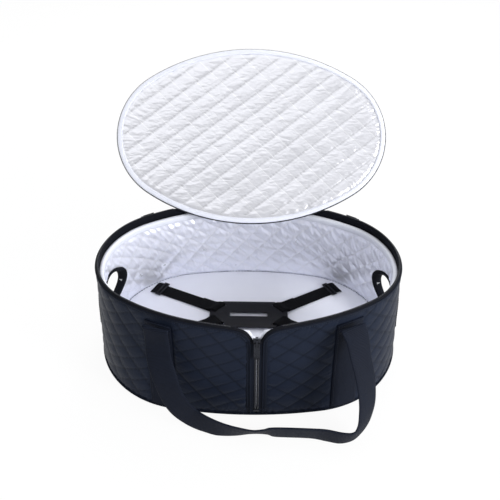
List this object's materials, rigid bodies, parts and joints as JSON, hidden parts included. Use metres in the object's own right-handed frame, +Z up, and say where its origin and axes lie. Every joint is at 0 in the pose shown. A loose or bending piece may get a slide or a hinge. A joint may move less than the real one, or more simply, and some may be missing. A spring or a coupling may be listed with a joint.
{
  "type": "insulated oval carrier bag",
  "caption": "Oval quilted insulated carrier bag with a zip-round hinged lid, front zip, webbing handles, pot-handle openings and an elastic pot harness.",
  "frame": {"origin": "on the floor, under the centre of the rim", "axes": "+X to the viewer's right when looking at the front zip, +Y to the rear hinge, +Z up"},
  "size_m": [0.4834, 0.5421, 0.3752],
  "materials": {
    "outer_cloth": "woven nylon, quilted, slight sheen",
    "foam": "closed-cell foam",
    "board": "plain sheet",
    "foil_lining": "silver-coated quilted cloth, satin metallic",
    "floor_cloth": "smooth coated cloth, pale lavender grey",
    "pale_binding": "woven tape, pale silver",
    "black_binding": "woven tape, black",
    "zip_tape": "knitted tape, near black",
    "zip_coil": "moulded coil",
    "zip_metal": "black lacquer",
    "webbing": "heavy woven webbing",
    "elastic": "woven elastic",
    "harness_plastic": "fine texture"
  },
  "bodies": {
    "bag": {"anchor_front_left": "elastic", "anchor_front_right": "elastic", "anchor_rear_left": "elastic", "anchor_rear_right": "elastic", "base_board": "board", "base_foam": "foam", "base_outer_panel": "outer_cloth", "base_piping": "black_binding", "elastic_front_left": "elastic", "elastic_front_right": "elastic", "elastic_rear_left": "elastic", "elastic_rear_right": "elastic", "floor_lining": "floor_cloth", "front_foam_left": "foam", "front_foam_right": "foam", "front_panel_left": "outer_cloth", "front_panel_right": "outer_cloth", "front_strap_left": "webbing", "front_strap_right": "webbing", "front_zip_coil_left": "zip_coil", "front_zip_coil_right": "zip_coil", "front_zip_stop": "zip_metal", "front_zip_tape_left": "zip_tape", "front_zip_tape_right": "zip_tape", "harness_ring_left": "harness_plastic", "harness_ring_right": "harness_plastic", "left_hole_binding": "black_binding", "lid_hinge_strip": "black_binding", "rear_foam": "foam", "rear_panel": "outer_cloth", "rear_strap_left": "webbing", "rear_strap_right": "webbing", "right_hole_binding": "black_binding", "rim_binding": "pale_binding", "rim_piping": "black_binding", "rim_zip_coil": "zip_coil", "rim_zip_tape": "zip_tape", "wall_lining": "foil_lining"},
    "lid": {"lid_foam": "foam", "lid_lining": "foil_lining", "lid_outer_panel": "outer_cloth", "lid_binding": "pale_binding", "lid_zip_tape": "zip_tape", "lid_zip_coil": "zip_coil"},
    "front_handle": {"front_handle": "webbing"},
    "rear_handle": {"rear_handle": "webbing"},
    "front_zip_slider": {"front_zip_slider": "zip_metal"},
    "front_zip_puller": {"front_zip_puller": "zip_metal"},
    "lid_slider_left": {"lid_slider_left": "zip_metal"},
    "lid_slider_right": {"lid_slider_right": "zip_metal"},
    "lid_puller_left": {"lid_puller_left": "zip_metal"},
    "lid_puller_right": {"lid_puller_right": "zip_metal"},
    "harness_plate": {"harness_plate": "harness_plastic"}
  },
  "joints": [
    {"name": "lid_hinge", "type": "hinge", "parent": "bag", "child": "lid", "pos_m": [0, 0.124, 0.1695], "axis": [1, 0, 0], "range_deg": [-12, 132.6], "deforming": ["lid_hinge_strip"]},
    {"name": "front_handle_swing", "type": "hinge", "parent": "bag", "child": "front_handle", "pos_m": [0.011, -0.141, 0.1495], "axis": [-1, 0, 0], "range_deg": [0, 120]},
    {"name": "rear_handle_swing", "type": "hinge", "parent": "bag", "child": "rear_handle", "pos_m": [0, 0.1375, 0.147], "axis": [1, 0, 0], "range_deg": [0, 110]},
    {"name": "front_zip_run", "type": "slide", "parent": "bag", "child": "front_zip_slider", "axis": [0, -0.1091, -0.994], "range_m": [0, 0.11]},
    {"name": "front_puller_swing", "type": "hinge", "parent": "front_zip_slider", "child": "front_zip_puller", "pos_m": [0.015, -0.15989, 0.13964], "axis": [-1, 0, 0], "range_deg": [0, 150]},
    {"name": "harness_lift", "type": "slide", "parent": "bag", "child": "harness_plate", "axis": [0, 0, 1], "range_m": [0, 0.06], "deforming": ["elastic_front_left", "elastic_front_right", "elastic_rear_left", "elastic_rear_right"]},
    {"name": "lid_slider_left_run", "type": "hinge", "parent": "bag", "child": "lid_slider_left", "pos_m": [-0.11, 0, 0.159], "axis": [0, 0, 1], "range_deg": [0, 110]},
    {"name": "lid_puller_left_swing", "type": "hinge", "parent": "lid_slider_left", "child": "lid_puller_left", "pos_m": [-0.17835, 0.10502, 0.159], "axis": [0, 0, 1], "range_deg": [0, 140]},
    {"name": "lid_slider_right_run", "type": "hinge", "parent": "bag", "child": "lid_slider_right", "pos_m": [0.11, 0, 0.159], "axis": [0, 0, -1], "range_deg": [0, 110]},
    {"name": "lid_puller_right_swing", "type": "hinge", "parent": "lid_slider_right", "child": "lid_puller_right", "pos_m": [0.17835, 0.10502, 0.159], "axis": [0, 0, -1], "range_deg": [0, 140]}
  ]
}
